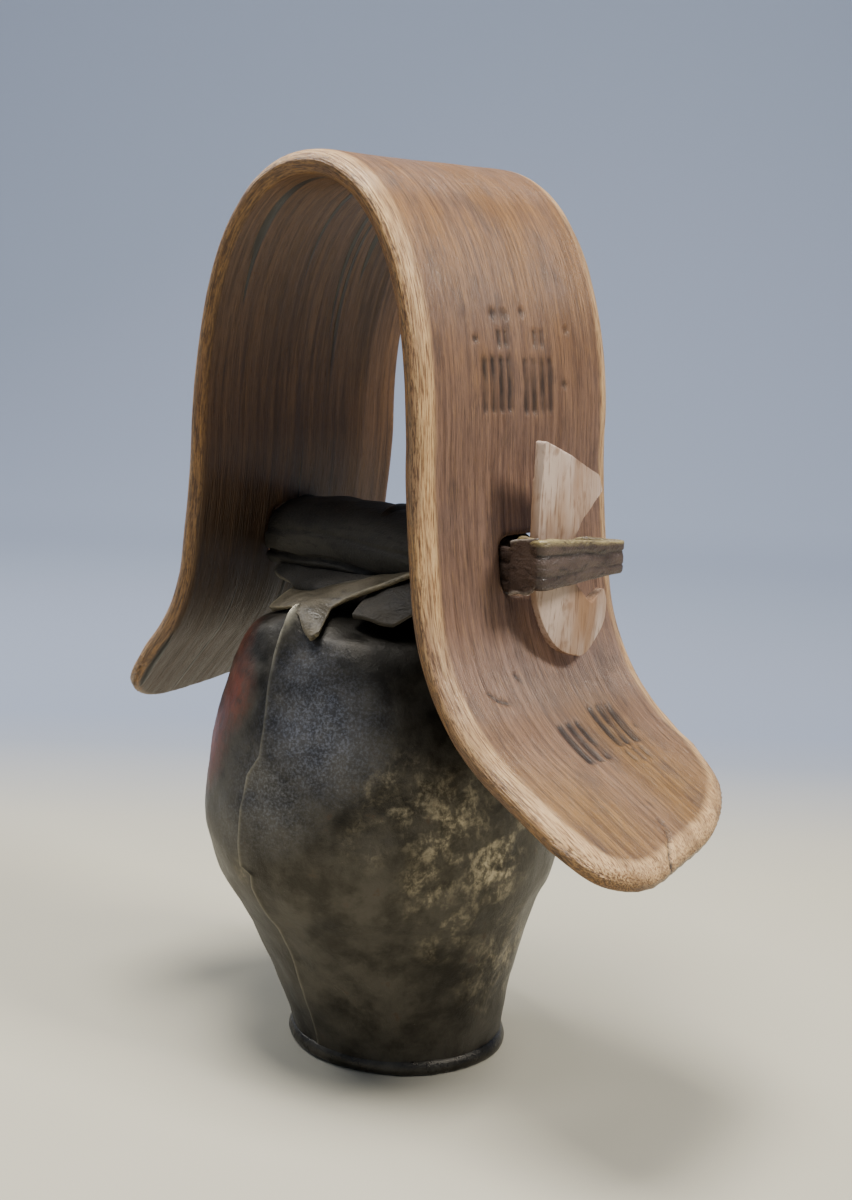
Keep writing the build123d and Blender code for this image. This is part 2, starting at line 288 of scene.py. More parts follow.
def wood_paint():
    """Old bent board: brown faces, tinted cooler down the legs as a painted bluish sheen; pale worn edges
    with dark pits, brightened on the outer rounding as a painted highlight and darker in their deeper part
    as painted shade; scorched marks; an inside darkened as painted shade, darkest towards the feet.
    """
    p = Paint("old_bentwood")
    flat = p.field("flat", vector=True)
    depth = p.split(flat)[2]
    wear, burn, foot = p.field("wear"), p.field("burn"), p.field("foot")
    fine = p.grain(p.stretch(flat, (95, 1900, 1900)), detail=4, rough=0.65)
    streak = p.grain(p.stretch(flat, (14, 420, 420)), detail=6, rough=0.65, twist=0.3)
    cloud = p.grain(p.stretch(flat, (14, 28, 28)), detail=5, rough=0.6)
    # Faces run from a warm tone near the crown to a cooler one down the legs; the cooler tone is a painted
    # bluish sheen.
    warm = p.mix(p.lift(streak, 0.3, 0.72), (0.105, 0.048, 0.017), (0.31, 0.155, 0.052))
    cool = p.mix(p.lift(streak, 0.3, 0.72), (0.095, 0.048, 0.029), (0.275, 0.16, 0.105))
    far_down = p.sum("ABSOLUTE", p.split(flat)[0], None)
    face = p.mix(p.lift(far_down, 0.06, 0.16), warm, cool)
    face = p.mix(p.lift(cloud, 0.35, 0.7, 0, 0.6), face, (0.17, 0.105, 0.08))
    golden = p.mix(p.lift(streak, 0.3, 0.7), (0.12, 0.058, 0.018), (0.31, 0.165, 0.05))
    face = p.mix(foot, face, golden)
    stain = p.lift(p.grain(p.stretch(flat, (30, 60, 60)), detail=6, rough=0.65), 0.52, 0.66)
    face = p.mix(p.sum("MULTIPLY", stain, 0.55), face, (0.075, 0.045, 0.032))
    # Painted shade: the inside of the bow gets a dark colour, darker still towards the feet.
    inside = p.mix(p.lift(streak, 0.3, 0.7), (0.075, 0.036, 0.017), (0.20, 0.105, 0.05))
    inside = p.mix(p.lift(far_down, 0.12, 0.21, 0, 0.75), inside, (0.035, 0.022, 0.014))
    inner = p.lift(depth, 0.0085, 0.0097)
    body = p.mix(inner, face, inside)
    # Worn edges: the pale edge colour is wear and also a painted highlight on the outer rounding;
    # shaded_edge, on the deeper part of the rounding, is painted shade.
    rub_and_glint = p.lift(p.grain(p.stretch(flat, (20, 120, 120)), detail=4), 0.3, 0.62)
    edge = p.mix(p.lift(fine, 0.35, 0.65), (0.74, 0.50, 0.25), (0.38, 0.19, 0.07))
    shaded_edge = p.mix(p.lift(fine, 0.35, 0.65), (0.34, 0.18, 0.06), (0.13, 0.06, 0.022))
    edge = p.mix(p.lift(depth, 0.002, 0.0065), edge, shaded_edge)
    body = p.mix(p.sum("MULTIPLY", p.lift(wear, 0.25, 0.85), p.lift(rub_and_glint, 0, 1, 0.45, 1)), body, edge)
    pit = p.lift(p.grain(p.stretch(flat, (240, 1100, 1400)), detail=4, rough=0.75), 0.48, 0.60)
    side = p.sum("MULTIPLY", pit, p.lift(depth, 0.0012, 0.0035, 0.12, 0.85))
    side = p.sum("MULTIPLY", side, p.lift(wear, 0.1, 0.6))
    body = p.mix(side, body, (0.075, 0.036, 0.018))
    thread = p.lift(fine, 0.52, 0.66)
    body = p.mix(p.sum("MULTIPLY", thread, 0.72), body, (0.05, 0.028, 0.018))
    pale = p.lift(fine, 0.46, 0.34)
    body = p.mix(p.sum("MULTIPLY", pale, p.lift(depth, 0.004, 0.001, 0.0, 0.3)), body, (0.44, 0.27, 0.12))
    split = p.grain(p.stretch(flat, (3.5, 150, 150)), detail=2, rough=0.4, twist=0.4)
    split = p.sum("MULTIPLY", p.lift(split, 0.63, 0.665), p.lift(depth, 0.009, 0.0099))
    body = p.mix(p.sum("MAXIMUM", split, burn), body, (0.012, 0.009, 0.008))
    relief = p.sum("SUBTRACT", p.sum("ADD", fine, p.sum("MULTIPLY", streak, 0.6)), split)
    normal = p.bump(relief, 0.45)
    rough = p.lift(fine, 0.3, 0.7, 0.26, 0.50)
    return p.finish(body, rough, normal)


def carved_paint():
    """Whittled light wood of the two keys."""
    p = Paint("whittled_wood")
    at = p.place()
    fine = p.grain(p.stretch(at, (900, 900, 60)), detail=3, rough=0.6)
    broad = p.grain(p.stretch(at, (60, 60, 18)), detail=4)
    colour = p.mix(p.lift(broad, 0.3, 0.7), (0.30, 0.17, 0.09), (0.56, 0.43, 0.35))
    colour = p.mix(p.lift(fine, 0.52, 0.7, 0, 0.75), colour, (0.17, 0.09, 0.045))
    grime = p.lift(p.grain(p.stretch(at, (140, 140, 90)), detail=5), 0.56, 0.7, 0, 0.6)
    colour = p.mix(grime, colour, (0.20, 0.105, 0.05))
    return p.finish(colour, p.lift(fine, 0.3, 0.7, 0.38, 0.6), p.bump(fine, 0.3))


def leather_paint(name, dark, pale, edge, crease=0.5, rough=(0.38, 0.62)):
    """Old leather with wrinkles; one field picks out its rubbed edges and the painted highlights on lit tops
    and edges; another darkens grooves as painted shade.
    """
    p = Paint(name)
    at = p.place()
    pore = p.cells(p.stretch(at, (900, 900, 900)), 1.0)
    wrinkle = p.grain(p.stretch(at, (120, 160, 420)), detail=5, rough=0.6, twist=0.6)
    cloud = p.grain(p.stretch(at, (40, 40, 60)), detail=5, rough=0.6)
    colour = p.mix(p.lift(cloud, 0.35, 0.68), dark, pale)
    colour = p.mix(p.lift(wrinkle, 0.52, 0.7, 0, 0.7), colour, tuple(c * 0.35 for c in dark))
    colour = p.mix(p.sum("MULTIPLY", p.field("wear_and_sheen"), p.lift(wrinkle, 0.3, 0.6)), colour, edge)
    # Painted shade: grooves are darkened almost to black.
    colour = p.mix(p.sum("MULTIPLY", p.field("shaded_groove"), 0.85), colour, (0.012, 0.009, 0.008))
    height = p.sum("ADD", p.sum("MULTIPLY", pore, 0.25), wrinkle)
    return p.finish(colour, p.lift(cloud, 0.3, 0.7, *rough), p.bump(height, crease))


def iron_paint(name="hammered_iron", shine=0.0):
    """Dark hammered sheet iron, with coppery and brassy zones given as fields, a bluish zone that is a
    painted reflection, a dark roof zone that is a painted shadow, and bright rubbed edges that are also a
    painted highlight.
    """
    p = Paint(name)
    at = p.place()
    speck = p.grain(p.stretch(at, (900, 900, 900)), detail=4, rough=0.7)
    cloud = p.grain(p.stretch(at, (45, 45, 45)), detail=6, rough=0.65)
    crackle = p.grain(p.stretch(at, (260, 260, 230)), detail=6, rough=0.75, twist=0.25)
    colour = p.mix(p.lift(cloud, 0.35, 0.66), (0.030, 0.027, 0.022), (0.075, 0.068, 0.055))
    # Painted reflection: a bluish-grey sheen across the bell's front.
    patch = p.sum("MULTIPLY", p.field("blue"), p.lift(speck, 0.42, 0.66, 0.25, 1))
    colour = p.mix(patch, colour, (0.20, 0.21, 0.245))
    patch = p.sum("MULTIPLY", p.field("copper"), p.lift(crackle, 0.36, 0.58, 0.35, 1))
    colour = p.mix(patch, colour, (0.24, 0.07, 0.04))
    blotch = p.grain(p.stretch(at, (75, 75, 95)), detail=4, rough=0.6, twist=0.5)
    brass = p.sum("MULTIPLY", p.field("brass"), p.lift(crackle, 0.40, 0.66, 0.1, 0.9))
    brass = p.sum("MULTIPLY", brass, p.lift(blotch, 0.42, 0.60, 0.12, 1))
    colour = p.mix(brass, colour, (0.46, 0.40, 0.28))
    colour = p.mix(p.lift(speck, 0.68, 0.76, 0, 0.55), colour, (0.30, 0.28, 0.24))
    rust = p.lift(p.grain(p.stretch(at, (90, 90, 90)), detail=6, rough=0.7), 0.62, 0.72, 0, 0.45)
    colour = p.mix(rust, colour, (0.07, 0.035, 0.018))
    # Painted shadow: the roof's front right and the shoulder under it are darkened almost to black.
    colour = p.mix(p.sum("MULTIPLY", p.field("roof_shadow"), 0.9), colour, (0.012, 0.011, 0.009))
    # Rubbed edges painted pale: partly bare metal, partly a painted highlight along the seam and on the ear.
    colour = p.mix(p.sum("MULTIPLY", p.field("rub_and_glint"), p.lift(crackle, 0.25, 0.5)), colour, (0.78, 0.72, 0.55))
    rough = p.lift(cloud, 0.3, 0.7, 0.34 - shine, 0.52 - shine)
    height = p.sum("ADD", p.sum("MULTIPLY", speck, 0.35), crackle)
    return p.finish(colour, rough, p.bump(height, 0.35), p.lift(cloud, 0.3, 0.7, 0.85, 0.6))


# ---- collar bow ----------------------------------------------------------------------------------
def bow_side(side):
    """Outer face down one side from the crown: x, z, outward normal x and z, and the flare's end."""
    drop, spread = SPRING_Z - LEG_Z, LEG_HALF - SPRING_HALF
    start = math.atan2(1.5 * spread, drop)
    angle = np.radians(np.linspace(90, 0, 240))
    rise = HEIGHT - SPRING_Z
    x = SPRING_HALF * np.abs(np.cos(angle)) ** (2 / ARCH_POWER)
    z = rise * np.abs(np.sin(angle)) ** (2 / ARCH_POWER)
    across = (x / SPRING_HALF) ** (ARCH_POWER - 1) / SPRING_HALF
    out = np.stack([across, (z / rise) ** (ARCH_POWER - 1) / rise], 1)
    arch = np.column_stack([x, z + SPRING_Z, out / np.linalg.norm(out, axis=1, keepdims=True)])
    part = np.linspace(0, 1, 40)[1:]
    lean = np.arctan2(1.5 * spread * part**0.5, drop)
    leg_x = SPRING_HALF + spread * part**1.5
    leg = np.column_stack([leg_x, SPRING_Z - drop * part, np.cos(lean), np.sin(lean)])
    turn = np.linspace(start, FLARE_TURN[side], 60)[1:]
    flare = np.column_stack(
        [
            LEG_HALF + FLARE_R[side] * (math.cos(start) - np.cos(turn)),
            LEG_Z - FLARE_R[side] * (np.sin(turn) - math.sin(start)),
            np.cos(turn),
            np.sin(turn),
        ]
    )
    run = np.linspace(0, FOOT_LONGEST, 30)[1:, None]
    nx, nz = flare[-1, 2:]
    foot = np.hstack([flare[-1, :2] + run * (nz, -nx), np.tile((nx, nz), (len(run), 1))])
    line = np.vstack([arch, leg, flare, foot])
    along = np.concatenate([[0], np.cumsum(np.hypot(*np.diff(line[:, :2], axis=0).T))])
    return line, along, along[-1 - len(run)]


right_line, right_along, right_flare = bow_side(1)
left_line, left_along, left_flare = bow_side(-1)
mirror = np.array([-1, 1, -1, 1])
bow_along = np.concatenate([-left_along[:0:-1], right_along])
bow_face = np.vstack([left_line[:0:-1] * mirror, right_line])


def on_bow(s, y, depth):
    """Points of the board at distance s round the bow, y across it and depth under its outer face."""
    x, z, nx, nz = (np.interp(s, bow_along, bow_face[:, k]) for k in range(4))
    return np.stack([x - nx * depth, y, z - nz * depth], -1)


# Tip outlines: how far past the flare's end the board reaches, at each place across it.
TIP_RIGHT = ((-61, 24), (-56, 47), (-46, 57), (-32, 60.5), (-10, 56.5), (22, 48), (49, 30), (61, 4))
TIP_LEFT = ((-61, 8), (-57, 31), (-49, 42), (-37, 46.5), (-18, 44), (12, 34), (43, 16), (61, -8))
OUT_WIDE, OUT_DEEP = 9.0, 5.5  # rounding of the board's long edges, outside
IN_WIDE = 4.0
STRAIGHT_END = 262.0  # the tips' outlines stretch the grid only past here
SLOT_HALF_Y, SLOT_HALF_S = 17.5, 12.0

near = np.array([0, 0.15, 0.4, 0.8, 1.3, 1.9, 2.6, 3.4, 4.3, 5.3, 6.4, 7.6, 8.8])
v_lines = np.concatenate([near - BAND_HALF, np.linspace(-50, 50, 84), BAND_HALF - near[::-1]])
slot_y = (AXIS_Y - SLOT_HALF_Y, AXIS_Y + SLOT_HALF_Y)
slot_s = {}
for side, line, along in ((1, right_line, right_along), (-1, left_line, left_along)):
    slot_s[side] = side * np.interp(-(AXIS_Z + 1.2), -line[:, 1], along)
for edge in slot_y:
    v_lines[np.argmin(np.abs(v_lines - edge))] = edge
middle = np.linspace(-STRAIGHT_END, STRAIGHT_END, 420)
for side in (1, -1):
    for edge in (slot_s[side] - SLOT_HALF_S, slot_s[side] + SLOT_HALF_S):
        middle[np.argmin(np.abs(middle - edge))] = edge
reach = 1 - np.concatenate([np.linspace(1, 0.1, 52), (near / 90)[::-1]])[1:]
s_left = left_flare + np.interp(v_lines, *curve(TIP_LEFT, 400).T)
s_right = right_flare + np.interp(v_lines, *curve(TIP_RIGHT, 400).T)
s_grid = np.vstack(
    [
        -(STRAIGHT_END + reach[::-1, None] * (s_left - STRAIGHT_END)),
        np.tile(middle[:, None], len(v_lines)),
        STRAIGHT_END + reach[:, None] * (s_right - STRAIGHT_END),
    ]
)
y_grid = np.tile(v_lines, (len(s_grid), 1))


def from_tip(s, y, outline, flare_end):
    """Distance from each point to a tip's outline."""
    line = curve(outline, 160)
    far = np.full(s.shape, 99.0)
    some = s > flare_end - 20
    gap = (s[some][:, None] - (flare_end + line[:, 1])) ** 2 + (y[some][:, None] - line[:, 0]) ** 2
    far[some] = np.sqrt(gap.min(1))
    return far


rim = np.minimum(BAND_HALF - np.abs(y_grid), from_tip(s_grid, y_grid, TIP_RIGHT, right_flare))
rim = np.minimum(rim, from_tip(-s_grid, y_grid, TIP_LEFT, left_flare))
rim[[0, -1]] = 0

flat_points = np.stack([s_grid, y_grid, np.zeros_like(s_grid)], -1).reshape(-1, 3)
shape = s_grid.shape


def ripple(stretch, seed, offset=0.0):
    """Noise laid out along the grain; stretch gives its length and width."""
    return noise((flat_points + (0, 0, offset)) / (*stretch, 1.0), 1.0, seed).reshape(shape)


# Corners of the slots are rounded by drawing the grid in round them.
for side in (1, -1):
    ds, dy = (s_grid - slot_s[side]) / SLOT_HALF_S, (y_grid - AXIS_Y) / SLOT_HALF_Y
    square = np.maximum(np.abs(ds), np.abs(dy))
    round_ = (np.abs(ds) ** 5 + np.abs(dy) ** 5) ** 0.2
    pull = 1 + (square / np.maximum(round_, 1e-6) - 1) * np.clip((2.2 - square) / 1.2, 0, 1)
    pull = np.where(square < 2.2, pull, 1)
    s_grid = slot_s[side] + ds * pull * SLOT_HALF_S
    y_grid = AXIS_Y + dy * pull * SLOT_HALF_Y

# Scorched marks, plain rows of bars and dots, and three gouges: s, y, end s, end y, half width.
BARS = (
    *((112, y, 131, y, 1.5) for y in (-22, -17, -12, -7)),
    *((113, y, 132, y, 1.5) for y in (3, 8, 13, 18)),
    *((101, y, 106, y, 1.0) for y in (-12, -8, 10, 14)),
    *((258, y, 276, y, 2.0) for y in (15, 20.5, 26)),
    *((263, y, 281, y, 1.9) for y in (-9, -3.5, 2)),
    *((281, y, 287, y, 0.8) for y in (14, 19, 24)),
    (242, -37, 245.5, -34, 0.8),
    (245.5, -34, 247.5, -29.5, 0.9),
    (237, -18, 240, -16, 0.9),
)
DOTS = (
    *((94, -14, 2.1), (94, -7, 2.1), (93, 4, 1.6), (104, -26, 1.5)),
    *((122, 27, 1.7), (100, 31, 1.3), (270, 33, 1.4)),
)


def mark_field(s, y):
    """How deep each point lies in a scorched mark, 0 to 1."""
    deep = np.zeros_like(s)
    for s0, y0, s1, y1, half in BARS:
        run = ((s - s0) * (s1 - s0) + (y - y0) * (y1 - y0)) / ((s1 - s0) ** 2 + (y1 - y0) ** 2)
        run = np.clip(run, 0, 1)
        gap = np.hypot(s - s0 - run * (s1 - s0), y - y0 - run * (y1 - y0))
        deep = np.maximum(deep, np.clip((half + 0.7 - gap) / 1.3, 0, 1))
    for s0, y0, half in DOTS:
        deep = np.maximum(deep, np.clip((half + 0.6 - np.hypot(s - s0, y - y0)) / 1.2, 0, 1) * 0.8)
    return deep


patchy = np.clip(0.85 + 0.7 * ripple((7, 2.5), 5), 0, 1)
burn = mark_field(s_grid, y_grid) * patchy
crack_run = np.clip((s_grid - 318) / 20, 0, 1.3)
crack_gap = np.abs(y_grid - (-6.5 - 13 * crack_run + 1.5 * np.sin(crack_run * 6)))
crack = np.clip((0.5 + 0.8 * crack_run - crack_gap) / 0.7, 0, 1) * (s_grid > 317)

full = np.clip(rim / 4, 0, 1)
round_out = np.clip(1 - rim / OUT_WIDE, 0, 1)
round_in = np.clip(1 - rim / IN_WIDE, 0, 1)
out_depth = OUT_DEEP * (1 - np.sqrt(1 - round_out**2))
in_depth = WOOD - (WOOD - OUT_DEEP) * (1 - np.sqrt(1 - round_in**2))
out_depth += full * (0.35 * ripple((90, 14), 1) + 0.16 * ripple((45, 3.2), 2) + 0.7 * burn + 2.4 * crack)
out_depth += np.clip(1 - np.abs(rim - 3) / 3, 0, 1) * 0.35 * ripple((9, 9), 3)
in_depth -= full * (0.35 * ripple((80, 12), 4) + 0.22 * ripple((60, 2.6), 6) + 1.5 * crack)
hole = {}
for side in (1, -1):
    ds, dy = (s_grid - slot_s[side]) / SLOT_HALF_S, (y_grid - AXIS_Y) / SLOT_HALF_Y
    hole[side] = (np.abs(ds) ** 5 + np.abs(dy) ** 5) ** 0.2
    lip = np.clip(1 - (hole[side] - 1) / 0.16, 0, 1) ** 2
    out_depth += 1.1 * lip
    in_depth -= 0.8 * lip
wave = 0.8 * ripple((55, 500), 7) + 0.3 * ripple((14, 500), 8)
y_worn = y_grid - np.sign(y_grid) * np.clip(np.abs(y_grid) / BAND_HALF, 0, 1) ** 6 * (0.5 + wave)
outer = on_bow(s_grid, y_worn, out_depth)
inner = on_bow(s_grid, y_worn, in_depth)
outer[..., 2] = np.minimum(outer[..., 2], HEIGHT)

count = outer.shape[0] * outer.shape[1]
top, low = quads(*shape), quads(*shape, start=count)[:, ::-1]
index = np.arange(count).reshape(shape)
loop = np.concatenate([index[0], index[1:, -1], index[-1, -2::-1], index[-2:0:-1, 0]])
walls = [np.stack([np.roll(loop, -1), loop, loop + count, np.roll(loop, -1) + count], 1)]
keep = np.ones(len(top), bool)
for side in (1, -1):
    s_in = (s_grid > slot_s[side] - SLOT_HALF_S * 1.001) & (s_grid < slot_s[side] + SLOT_HALF_S * 1.001)
    inside = s_in & (hole[side] < 1.02) & (y_grid > slot_y[0] - 0.01) & (y_grid < slot_y[1] + 0.01)
    rows, columns = np.where(inside)
    r0, r1, c0, c1 = rows.min(), rows.max(), columns.min(), columns.max()
    cells = np.zeros((shape[0] - 1, shape[1] - 1), bool)
    cells[r0:r1, c0:c1] = True
    keep &= ~cells.ravel()
    ring = np.concatenate(
        [index[r0, c0:c1], index[r0:r1, c1], index[r1, c1:c0:-1], index[r1:r0:-1, c0]]
    )
    walls.append(np.stack([ring, np.roll(ring, -1), np.roll(ring, -1) + count, ring + count], 1))
bow_faces = np.vstack([top[keep], low[keep], *walls])
bow_points = np.vstack([outer.reshape(-1, 3), inner.reshape(-1, 3)])
used = np.unique(bow_faces)
renumber = np.full(len(bow_points), -1)
renumber[used] = np.arange(len(used))
flat_field = np.vstack(
    [
        np.stack([s_grid, y_grid, np.clip(out_depth, 0, 9)], -1).reshape(-1, 3),
        np.stack([s_grid, y_grid, in_depth], -1).reshape(-1, 3),
    ]
)
WEAR_FULL, WEAR_FADE = 5.5, 6  # width of the fully worn band along the rim, and of its fade
slot_wear = np.clip(1 - (np.minimum(hole[1], hole[-1]) - 1) / 0.1, 0, 1)
wear_out = np.clip(1 - (rim - WEAR_FULL) / WEAR_FADE, 0, 1) + 0.5 * slot_wear
wear_in = np.clip(1 - rim / 6, 0, 1)
foot_zone = np.clip((np.abs(s_grid) - 235) / 40, 0, 1) * np.clip(0.7 + 0.6 * ripple((40, 25), 9), 0, 1)
fields = {
    "flat": flat_field[used] * MM,
    "wear": np.concatenate([wear_out.ravel(), wear_in.ravel()])[used],
    "burn": np.concatenate([np.maximum(burn * 0.85, crack).ravel(), np.zeros(count)])[used],
    "foot": np.concatenate([foot_zone.ravel(), np.zeros(count)])[used],
}
mesh_object(
    "bow_board",
    bow_points[used],
    renumber[bow_faces],
    "collar",
    wood_paint(),
    ["collar_bow"],
    fields,
)

# ---- keys ----------------------------------------------------------------------------------------
KEY_EDGE = ((-13.0, 274.5), (26.5, 259.0), (30.0, 252.5), (12.5, 242.0), (6.5, 234.5), (6.5, 220.0))
KEY_HOOK = ((11.5, 215.5), (20.5, 208.0), (31.0, 212.5), (34.0, 206.0))
KEY_FOOT = (
    *((34.0, 206.0), (33.0, 197.0), (19.0, 186.5), (2.0, 191.0)),
    *((-9.0, 205.5), (-13.6, 222.0), (-14.0, 243.0)),
)
KEY_VOXEL = 0.75
key_wood = carved_paint()


def face_plane(a, b, c):
    """The plane through three (x, y, z) points, as a point and a normal that points to +X."""
    a, b, c = (np.array(p, float) for p in (a, b, c))
    out = np.cross(b - a, c - a)
    out = out / np.linalg.norm(out)
    return a, out * math.copysign(1, out[0])


def key_piece(side, seed):
    """One key: the outline cut from board, knifed down in three flat facets, edges softened."""
    outline = list(KEY_EDGE + KEY_HOOK[:-1]) + [tuple(p) for p in curve(KEY_FOOT, 30)]
    lines = [(KEY_BACK, y, z) for y, z in outline] + [(KEY_BACK + KEY, y, z) for y, z in outline]
    n = len(outline)
    faces = [list(range(n)), list(range(2 * n - 1, n - 1, -1))]
    faces += [[i, i + n, (i + 1) % n + n, (i + 1) % n] for i in range(n)]
    mesh = bpy.data.meshes.new("key_blank")
    mesh.from_pydata([Vector(p) for p in lines], [], faces)
    blank = bpy.data.objects.new("key_blank", mesh)
    bpy.context.scene.collection.objects.link(blank)
    remesh = blank.modifiers.new("remesh", "REMESH")
    remesh.mode, remesh.voxel_size = "VOXEL", KEY_VOXEL
    smooth = blank.modifiers.new("smooth", "SMOOTH")
    smooth.factor, smooth.iterations = 0.5, 3
    dense = bpy.data.meshes.new_from_object(blank.evaluated_get(bpy.context.evaluated_depsgraph_get()))
    points = np.empty(len(dense.vertices) * 3)
    dense.vertices.foreach_get("co", points)
    points = points.reshape(-1, 3)
    faces = [list(p.vertices) for p in dense.polygons]
    bpy.data.objects.remove(blank)
    face = KEY_BACK + KEY
    for plane in (
        face_plane((face, -4, 274), (face, 9, 236), (face - 4.8, 29, 255)),
        face_plane((face, -5.5, 268), (face, -3, 236), (face - 1.7, -14, 250)),
        face_plane((face, -4, 226), (face - 0.4, 8, 194), (face - 3.2, -11, 208)),
        face_plane((face, 22, 214), (face, 12, 190), (face - 3.2, 32, 198)),
    ):
        at, out = plane
        over = np.maximum((points - at) @ out, 0) * np.clip((points[:, 0] - KEY_BACK - 1.2) / 2.0, 0, 1)
        points -= over[:, None] * out
    points[:, 0] += np.where(points[:, 0] > face - 5.5, 0.22, 0) * noise(points / (1, 1, 4), 3.5, seed)
    points[:, 0] += np.where(points[:, 0] > face - 5.5, 0.3, 0) * noise(points, 13, seed)
    points[:, 1] += 0.3 * noise(points, 7, seed + 1)
    points[:, 0] = np.clip(points[:, 0], KEY_BACK, face + 0.6) * side
    if side < 0:
        faces = [f[::-1] for f in faces]
    name = "right_key" if side > 0 else "left_key"
    return mesh_object(name + "_board", points, faces, name, key_wood, [name])


key_piece(1, 11)
key_piece(-1, 23)

# ---- hanger strap --------------------------------------------------------------------------------
strap_leather = leather_paint(
    "strap_leather", (0.035, 0.022, 0.016), (0.095, 0.064, 0.05), (0.30, 0.24, 0.11), 0.8, (0.3, 0.5)
)
STRAP_PLAN = (
    *((50, -4.75), (66, -13.0), (74, -15.0), (98, -24.4)),
    *((98, 27.6), (74, 15.0), (66, 13.0), (50, 4.75)),
)


def smooth_ring(corners, step, soft):
    """A closed line through corners, evenly spaced, rounded by averaging over about soft along it."""
    ring = np.asarray(corners + corners[:1], float)
    along = np.concatenate([[0], np.cumsum(np.linalg.norm(np.diff(ring, axis=0), axis=1))])
    at = np.arange(0, along[-1], step)
    line = np.stack([np.interp(at, along, ring[:, k]) for k in range(2)], 1)
    width = int(soft / step)
    window = np.hanning(2 * width + 3)[1:-1]
    window /= window.sum()
    return sum(np.roll(line, k - width, axis=0) * w for k, w in enumerate(window))


plan = smooth_ring(list(STRAP_PLAN) + [(-x, y) for x, y in reversed(STRAP_PLAN)], 0.8, 4.0) + (0, AXIS_Y)
ahead = np.roll(plan, -1, 0) - np.roll(plan, 1, 0)
ahead /= np.linalg.norm(ahead, axis=1, keepdims=True)
away = np.stack([ahead[:, 1], -ahead[:, 0]], 1)
around = np.linspace(0, 2 * math.pi, 64, endpoint=False)
section_out = STRAP / 2 * np.sign(np.cos(around)) * np.abs(np.cos(around)) ** 0.35
section_up = np.sign(np.sin(around)) * np.abs(np.sin(around)) ** 0.62
outside = np.clip((np.abs(plan[:, 0]) - 76) / 8, 0, 1)
behind = np.clip((plan[:, 1] + 15) / 40, 0, 1)
strap_top = AXIS_Z + STRAP_HALF + outside * (6.2 - 3.6 * behind)
strap_low = AXIS_Z - STRAP_HALF + outside * (4.6 + 2.6 * behind)
high = (strap_top + strap_low)[:, None] / 2 + section_up * (strap_top - strap_low)[:, None] / 2
push = section_out[None, :].repeat(len(plan), 0)
share = section_up[None, :]
face_side = np.cos(around)[None, :] > 0.2
run = np.arange(len(plan))[:, None] * 0.8
# Two grooves run along the strap's outside face; the leather paint darkens them as painted shade.
groove_at = 0.34 + 0.05 * np.sin(run / 9) + 0.03 * np.sin(run / 3.7)
shaded_groove = np.exp(-(((share - groove_at) / 0.07) ** 2)) * face_side
shaded_groove = shaded_groove + 0.6 * np.exp(-(((share + 0.45 - 0.05 * np.sin(run / 7 + 2)) / 0.045) ** 2)) * face_side
push = push - 0.95 * shaded_groove
push = push + 0.35 * np.clip((share - 0.45) / 0.4, 0, 1) * face_side
strap_grid = np.stack(
    [
        plan[:, None, 0] + away[:, None, 0] * push,
        plan[:, None, 1] + away[:, None, 1] * push,
        np.broadcast_to(high, push.shape),
    ],
    -1,
)
flatter = strap_grid.reshape(-1, 3)
flatter = flatter + normals(strap_grid, True, True).reshape(-1, 3) * (
    0.18 * noise(flatter / (1.6, 1.6, 1), 2.6, 31) + 0.2 * noise(flatter, 8, 32)
)[:, None]
# Painted highlight: the top of the strap's outside run is lightened towards olive, where light falls on it.
wear_and_sheen = np.clip((section_up - 0.72) / 0.2, 0, 1)[None, :] * outside[:, None]
mesh_object(
    "strap_band",
    flatter,
    quads(len(plan), 64, True, True)[:, ::-1],
    "collar",
    strap_leather,
    ["hanger_strap"],
    {"wear_and_sheen": wear_and_sheen.ravel(), "shaded_groove": (shaded_groove * outside[:, None]).ravel()},
)

# The strap's tail: a thinner lap on the outside of the near strand, its cut edges painted pale as a painted
# highlight where they catch the light.
lap_leather = leather_paint(
    "lap_leather", (0.035, 0.022, 0.016), (0.085, 0.055, 0.042), (0.62, 0.56, 0.48), 0.5
)
LAP_STEPS = 34
strand_at = ((76.5, -16.2), (84, -19.3), (90, -21.7), (95.5, -23.4))
strand = curve([(x, AXIS_Y + y) for x, y in strand_at], LAP_STEPS)
lap_out = np.array([[0.36, -0.93]])
tall = np.linspace(-1, 1, 30)
go = np.linspace(0, 1, LAP_STEPS)
low_edge = 212.4 + 0.8 * np.sin(6 * go) + 3.6 * go + 3.0 * go**4
top_edge = 233.6 + 0.6 * np.sin(1 + 5 * go) + 5.6 * go - 1.2 * go**5
stand = (1.95 - 0.5 * go**3)[:, None] + 0.5 * np.abs(tall[None, :]) ** 4
lap_grid = np.stack(
    [
        strand[:, None, 0] + lap_out[:, 0] * stand,
        strand[:, None, 1] + lap_out[:, 1] * stand,
        (top_edge + low_edge)[:, None] / 2 + tall * (top_edge - low_edge)[:, None] / 2,
    ],
    -1,
)
lap_points, lap_faces = slab(lap_grid, -1.0)
lap_points = lap_points + (0.2 * noise(lap_points, 4, 41))[:, None] * np.array([0.36, -0.93, 0.4])
lap_edge_glint = np.tile(np.clip((np.abs(tall) - 0.9) / 0.08, 0, 1), 2 * LAP_STEPS)
lap_edge_glint *= np.tile(np.repeat(np.clip(1.25 - go, 0, 1), 30), 2)
mesh_object(
    "strap_tail",
    lap_points,
    lap_faces,
    "collar",
    lap_leather,
    ["strap_lap"],
    {"wear_and_sheen": lap_edge_glint},
)

# ---- throat pad ----------------------------------------------------------------------------------
pad_leather = leather_paint(
    "pad_leather", (0.022, 0.020, 0.017), (0.052, 0.047, 0.038), (0.10, 0.088, 0.062), 0.9, (0.55, 0.8)
)
